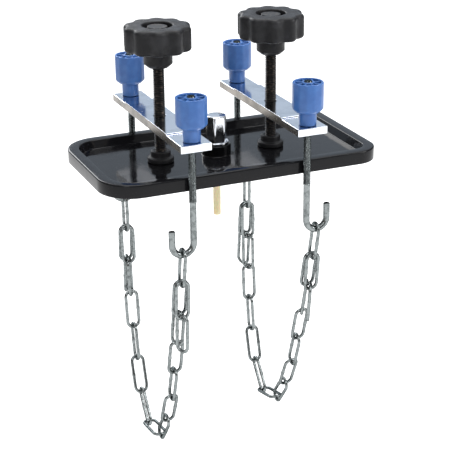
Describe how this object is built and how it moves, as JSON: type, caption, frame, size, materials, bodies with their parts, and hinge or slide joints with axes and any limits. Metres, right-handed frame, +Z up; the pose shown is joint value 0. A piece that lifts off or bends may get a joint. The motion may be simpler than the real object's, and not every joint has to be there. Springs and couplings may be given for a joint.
{
  "type": "clamp-on reservoir cover plate",
  "caption": "Tray-like cover plate with a hexagon hose fitting and dip tube, clamped by star-knob screws on crossbars whose hook bolts carry chain loops.",
  "frame": {"origin": "centre of the gasket's underside, where the plate seats on a reservoir's rim, on the hose fitting's axis", "axes": "+Z up along the fitting and the clamp screws, +X along the plate's length towards its squarer end, +Y across the plate to its back"},
  "size_m": [0.1956, 0.1369, 0.3055],
  "materials": {
    "gloss_black": "gloss",
    "black_rubber": "matte",
    "matte_black": "matte moulded",
    "polished_steel": "polished",
    "black_oxide": "black oxide",
    "zinc": "bright zinc plate",
    "blue_plastic": "satin moulded",
    "tube_plastic": "translucent hose",
    "fibre": "pressed fibre"
  },
  "bodies": {
    "root": {"cover_plate": "gloss_black", "rubber_gasket": "black_rubber", "hose_fitting": "polished_steel", "fitting_locknut": "polished_steel", "sealing_washer": "fibre", "dip_tube": "tube_plastic"},
    "left_foot": {"left_clamp_foot": "matte_black"},
    "left_screw": {"left_clamp_screw": "black_oxide", "left_star_knob": "matte_black"},
    "left_bar": {"left_clamp_bar": "polished_steel"},
    "left_front_nut": {"left_front_thumb_nut": "blue_plastic"},
    "left_front_hook": {"left_front_hook_bolt": "zinc"},
    "left_back_nut": {"left_back_thumb_nut": "blue_plastic"},
    "left_back_hook": {"left_back_hook_bolt": "zinc"},
    "left_chain": {"left_chain_link_01": "zinc", "left_chain_link_02": "zinc", "left_chain_link_03": "zinc", "left_chain_link_04": "zinc", "left_chain_link_05": "zinc", "left_chain_link_06": "zinc", "left_chain_link_07": "zinc", "left_chain_link_08": "zinc", "left_chain_link_09": "zinc", "left_chain_link_10": "zinc", "left_chain_link_11": "zinc", "left_chain_link_12": "zinc", "left_chain_link_13": "zinc", "left_chain_link_14": "zinc", "left_chain_link_15": "zinc"},
    "left_front_tail": {"left_front_tail_link_1": "zinc", "left_front_tail_link_2": "zinc"},
    "left_back_tail": {"left_back_tail_link_1": "zinc", "left_back_tail_link_2": "zinc"},
    "right_foot": {"right_clamp_foot": "matte_black"},
    "right_screw": {"right_clamp_screw": "black_oxide", "right_star_knob": "matte_black"},
    "right_bar": {"right_clamp_bar": "polished_steel"},
    "right_front_nut": {"right_front_thumb_nut": "blue_plastic"},
    "right_front_hook": {"right_front_hook_bolt": "zinc"},
    "right_back_nut": {"right_back_thumb_nut": "blue_plastic"},
    "right_back_hook": {"right_back_hook_bolt": "zinc"},
    "right_chain": {"right_chain_link_01": "zinc", "right_chain_link_02": "zinc", "right_chain_link_03": "zinc", "right_chain_link_04": "zinc", "right_chain_link_05": "zinc", "right_chain_link_06": "zinc", "right_chain_link_07": "zinc", "right_chain_link_08": "zinc", "right_chain_link_09": "zinc", "right_chain_link_10": "zinc", "right_chain_link_11": "zinc", "right_chain_link_12": "zinc", "right_chain_link_13": "zinc", "right_chain_link_14": "zinc", "right_chain_link_15": "zinc"},
    "right_front_tail": {"right_front_tail_link_1": "zinc", "right_front_tail_link_2": "zinc"},
    "right_back_tail": {"right_back_tail_link_1": "zinc", "right_back_tail_link_2": "zinc"}
  },
  "joints": [
    {"name": "left_clamp_swivel", "type": "hinge", "parent": "root", "child": "left_foot", "pos_m": [-0.0407, 0, 0.0068], "axis": [0, 0, 1], "range_deg": [-3.5, 3.5]},
    {"name": "left_screw_spin", "type": "hinge", "parent": "left_foot", "child": "left_screw", "pos_m": [-0.0407, 0, 0.0068], "axis": [0, 0, 1], "range_deg": [-6912.5, 4896.5]},
    {"name": "left_bar_travel", "type": "slide", "parent": "left_foot", "child": "left_bar", "axis": [0, 0, 1], "range_m": [-0.017, 0.024]},
    {"name": "left_front_nut_spin", "type": "hinge", "parent": "left_bar", "child": "left_front_nut", "pos_m": [-0.0407, -0.057, 0.0383], "axis": [0, 0, 1], "range_deg": [-2250.5, 0]},
    {"name": "left_front_hook_travel", "type": "slide", "parent": "left_bar", "child": "left_front_hook", "axis": [0, 0, 1], "range_m": [0, 0.005]},
    {"name": "left_back_nut_spin", "type": "hinge", "parent": "left_bar", "child": "left_back_nut", "pos_m": [-0.0407, 0.057, 0.0383], "axis": [0, 0, 1], "range_deg": [0, 2250.5]},
    {"name": "left_back_hook_travel", "type": "slide", "parent": "left_bar", "child": "left_back_hook", "axis": [0, 0, 1], "range_m": [-0.005, 0]},
    {"name": "left_chain_swing", "type": "hinge", "parent": "left_front_hook", "child": "left_chain", "pos_m": [-0.0482, -0.057, -0.031], "axis": [0, 1, 0], "range_deg": [-12, 25]},
    {"name": "left_front_tail_swing", "type": "hinge", "parent": "left_chain", "child": "left_front_tail", "pos_m": [-0.0482, -0.05437, -0.0601], "axis": [0, 1, 0], "range_deg": [0, 20]},
    {"name": "left_back_tail_swing", "type": "hinge", "parent": "left_chain", "child": "left_back_tail", "pos_m": [-0.0482, 0.05729, -0.06042], "axis": [0, 1, 0], "range_deg": [0, 20]},
    {"name": "right_clamp_swivel", "type": "hinge", "parent": "root", "child": "right_foot", "pos_m": [0.0407, 0, 0.0068], "axis": [0, 0, 1], "range_deg": [-3.5, 3.5]},
    {"name": "right_screw_spin", "type": "hinge", "parent": "right_foot", "child": "right_screw", "pos_m": [0.0407, 0, 0.0068], "axis": [0, 0, 1], "range_deg": [-6912.5, 4896.5]},
    {"name": "right_bar_travel", "type": "slide", "parent": "right_foot", "child": "right_bar", "axis": [0, 0, 1], "range_m": [-0.017, 0.024]},
    {"name": "right_front_nut_spin", "type": "hinge", "parent": "right_bar", "child": "right_front_nut", "pos_m": [0.0407, -0.057, 0.0383], "axis": [0, 0, 1], "range_deg": [-2250.5, 0]},
    {"name": "right_front_hook_travel", "type": "slide", "parent": "right_bar", "child": "right_front_hook", "axis": [0, 0, 1], "range_m": [0, 0.005]},
    {"name": "right_back_nut_spin", "type": "hinge", "parent": "right_bar", "child": "right_back_nut", "pos_m": [0.0407, 0.057, 0.0383], "axis": [0, 0, 1], "range_deg": [0, 2250.5]},
    {"name": "right_back_hook_travel", "type": "slide", "parent": "right_bar", "child": "right_back_hook", "axis": [0, 0, 1], "range_m": [-0.005, 0]},
    {"name": "right_chain_swing", "type": "hinge", "parent": "right_front_hook", "child": "right_chain", "pos_m": [0.0482, -0.057, -0.0287], "axis": [0, -1, 0], "range_deg": [-12, 25]},
    {"name": "right_front_tail_swing", "type": "hinge", "parent": "right_chain", "child": "right_front_tail", "pos_m": [0.0482, -0.05287, -0.05751], "axis": [0, -1, 0], "range_deg": [0, 20]},
    {"name": "right_back_tail_swing", "type": "hinge", "parent": "right_chain", "child": "right_back_tail", "pos_m": [0.0482, 0.05883, -0.05815], "axis": [0, -1, 0], "range_deg": [0, 20]}
  ],
  "couplings": [
    {"joint": "left_screw_spin", "follows": "left_bar_travel", "rad_per_m": -5026.5},
    {"joint": "left_front_nut_spin", "follows": "left_front_hook_travel", "rad_per_m": -7854},
    {"joint": "left_back_nut_spin", "follows": "left_back_hook_travel", "rad_per_m": -7854},
    {"joint": "right_screw_spin", "follows": "right_bar_travel", "rad_per_m": -5026.5},
    {"joint": "right_front_nut_spin", "follows": "right_front_hook_travel", "rad_per_m": -7854},
    {"joint": "right_back_nut_spin", "follows": "right_back_hook_travel", "rad_per_m": -7854}
  ]
}
